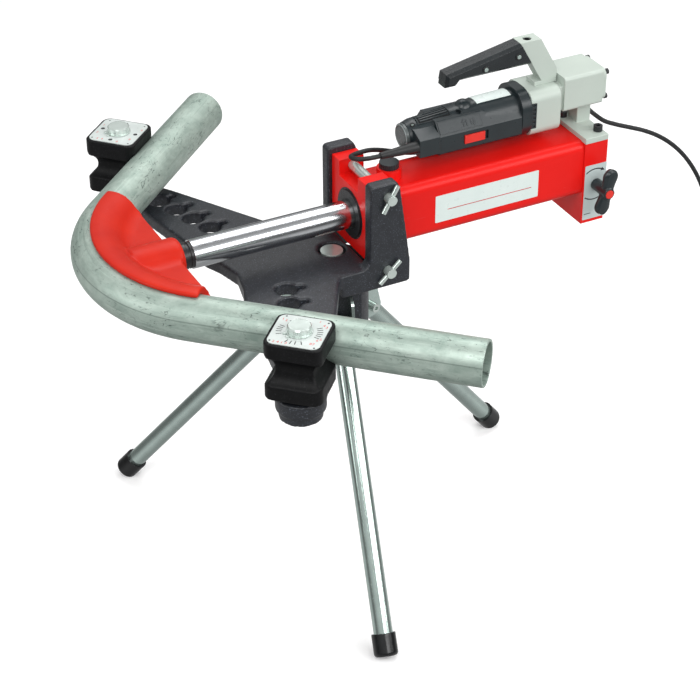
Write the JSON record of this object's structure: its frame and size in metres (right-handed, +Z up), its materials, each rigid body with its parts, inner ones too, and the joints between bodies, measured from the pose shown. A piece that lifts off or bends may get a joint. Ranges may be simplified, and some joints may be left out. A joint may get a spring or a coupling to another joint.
{
  "type": "hydraulic pipe bender",
  "caption": "Electro-hydraulic pipe bender on a folding tripod: a ram-driven former presses a pipe round against grooved rollers pinned in a keyhole frame.",
  "frame": {"origin": "centre of the machine's box on the floor, the mains cord left out", "axes": "+X along the ram towards the pump, +Y to the far side as pictured, +Z up"},
  "size_m": [1.2344, 0.8072, 0.688],
  "materials": {
    "red_paint": "gloss",
    "black_cast": "satin, cast texture",
    "black_metal": "satin",
    "chrome_rod": "polished",
    "steel": "zinc plated",
    "zinc_pipe": "galvanised, worn",
    "zinc_leg": "bright galvanised",
    "scale_white": "printed",
    "grey_paint": "satin",
    "dark_plastic": "satin",
    "red_plastic": "gloss",
    "black_rubber": "matt",
    "tie_plastic": "satin",
    "plug_metal": "nickel plated"
  },
  "bodies": {
    "machine": {"bending_frame": "black_cast", "front_block": "red_paint", "rod_gland": "black_metal", "rod_wiper": "black_rubber", "cylinder_tube": "red_paint", "rear_block": "red_paint", "pump_base": "grey_paint", "pump_base_bolts": "black_metal", "pump_housing": "grey_paint", "pump_rear_cover": "grey_paint", "pump_cover_bolts": "black_metal", "gear_housing": "grey_paint", "handle_arm": "grey_paint", "near_grip_half": "dark_plastic", "far_grip_half": "dark_plastic", "grip_screws": "steel", "motor_collar": "dark_plastic", "motor_housing": "dark_plastic", "motor_end_cap": "dark_plastic", "cord_block": "dark_plastic", "cord_boot": "black_rubber", "tripod_head": "black_cast", "leg_lugs": "zinc_leg", "leg_bolts": "steel", "centre_bolt": "steel", "cord_run": "black_rubber", "cord_coil": "black_rubber", "coil_tie": "tie_plastic", "plug_body": "black_rubber", "plug_pins": "plug_metal"},
    "ram": {"ram_rod": "chrome_rod", "ram_nose": "black_metal", "ram_piston": "steel", "piston_seal": "black_rubber", "bending_former": "red_paint", "bent_pipe": "zinc_pipe"},
    "near_roller_unit": {"near_roller": "black_cast", "near_scale_plate": "scale_white"},
    "far_roller_unit": {"far_roller": "black_cast", "far_scale_plate": "scale_white"},
    "near_pin_unit": {"near_roller_pin": "steel", "near_pin_ring": "steel"},
    "far_pin_unit": {"far_roller_pin": "steel", "far_pin_ring": "steel"},
    "upper_pin_unit": {"upper_ear_pin": "steel", "upper_pin_bar": "steel"},
    "lower_pin_unit": {"lower_ear_pin": "steel", "lower_pin_bar": "steel"},
    "valve": {"valve_spindle": "steel", "valve_knob": "dark_plastic", "valve_knob_cap": "red_plastic"},
    "filler": {"filler_cap": "dark_plastic"},
    "switch": {"motor_switch": "red_plastic"},
    "near_leg": {"near_leg_tube": "zinc_leg", "near_foot_cap": "black_rubber"},
    "far_leg": {"far_leg_tube": "zinc_leg", "far_foot_cap": "black_rubber"},
    "rear_leg": {"rear_leg_tube": "zinc_leg", "rear_foot_cap": "black_rubber"}
  },
  "joints": [
    {"name": "ram_slide", "type": "slide", "parent": "machine", "child": "ram", "axis": [1, 0, 0], "range_m": [0, 0.22]},
    {"name": "near_roller_swing", "type": "hinge", "parent": "machine", "child": "near_roller_unit", "pos_m": [-0.22123, -0.27176, 0.498], "axis": [0, 0, -1], "range_deg": [0, 47]},
    {"name": "far_roller_swing", "type": "hinge", "parent": "machine", "child": "far_roller_unit", "pos_m": [-0.22123, 0.30464, 0.498], "axis": [0, 0, 1], "range_deg": [0, 47]},
    {"name": "near_roller_pin_lift", "type": "slide", "parent": "machine", "child": "near_pin_unit", "axis": [0, 0, 1], "range_m": [0, 0.13]},
    {"name": "far_roller_pin_lift", "type": "slide", "parent": "machine", "child": "far_pin_unit", "axis": [0, 0, 1], "range_m": [0, 0.13]},
    {"name": "upper_ear_pin_pull", "type": "slide", "parent": "machine", "child": "upper_pin_unit", "axis": [0, -1, 0], "range_m": [0, 0.16]},
    {"name": "lower_ear_pin_pull", "type": "slide", "parent": "machine", "child": "lower_pin_unit", "axis": [0, -1, 0], "range_m": [0, 0.16]},
    {"name": "valve_turn", "type": "hinge", "parent": "machine", "child": "valve", "pos_m": [0.35807, -0.02756, 0.472], "axis": [0, -1, 0], "range_deg": [0, 270]},
    {"name": "filler_cap_turn", "type": "hinge", "parent": "machine", "child": "filler", "pos_m": [0.05307, 0.01644, 0.554], "axis": [0, 0, 1], "range_deg": [0, 180]},
    {"name": "motor_switch_slide", "type": "slide", "parent": "machine", "child": "switch", "axis": [1, 0, 0], "range_m": [0, 0.006]},
    {"name": "near_leg_fold", "type": "hinge", "parent": "machine", "child": "near_leg", "pos_m": [-0.04896, -0.04164, 0.34], "axis": [0.9681, -0.2504, 0], "range_deg": [0, 39]},
    {"name": "far_leg_fold", "type": "hinge", "parent": "machine", "child": "far_leg", "pos_m": [-0.07673, 0.0585, 0.34], "axis": [-0.7009, -0.7133, 0], "range_deg": [0, 39]},
    {"name": "rear_leg_fold", "type": "hinge", "parent": "machine", "child": "rear_leg", "pos_m": [0.02388, 0.03248, 0.34], "axis": [-0.2672, 0.9636, 0], "range_deg": [0, 39]}
  ],
  "couplings": [
    {"joint": "near_roller_swing", "follows": "ram_slide", "rad_per_m": 3.7088},
    {"joint": "far_roller_swing", "follows": "ram_slide", "rad_per_m": 3.7088}
  ]
}
